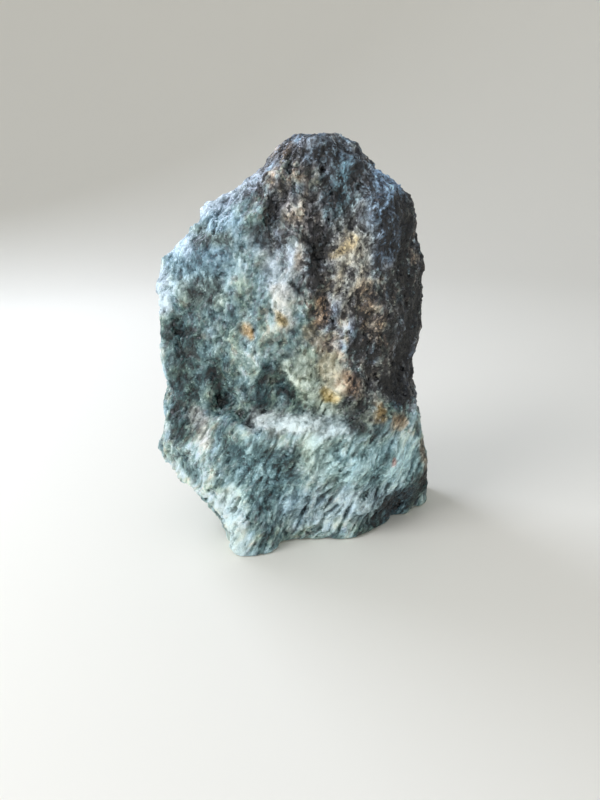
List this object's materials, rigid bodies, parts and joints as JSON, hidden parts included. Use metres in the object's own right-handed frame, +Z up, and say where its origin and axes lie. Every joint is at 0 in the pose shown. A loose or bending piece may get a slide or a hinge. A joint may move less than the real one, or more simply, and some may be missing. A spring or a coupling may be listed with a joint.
{
  "type": "raw soapstone block",
  "caption": "Rough, broken lump of green soapstone with a brown weathered crust, standing upright on its flat foot.",
  "frame": {"origin": "middle of the bounding box on the surface the block stands on", "axes": "+Z up along the block's height, the broad mottled face towards -Y, +X to that face's right"},
  "size_m": [0.2052, 0.1204, 0.2684],
  "materials": {
    "soapstone": "broken, semi-matt, mottled green with a brown weathered crust"
  },
  "bodies": {
    "root": {"soapstone_block": "soapstone"}
  },
  "joints": []
}
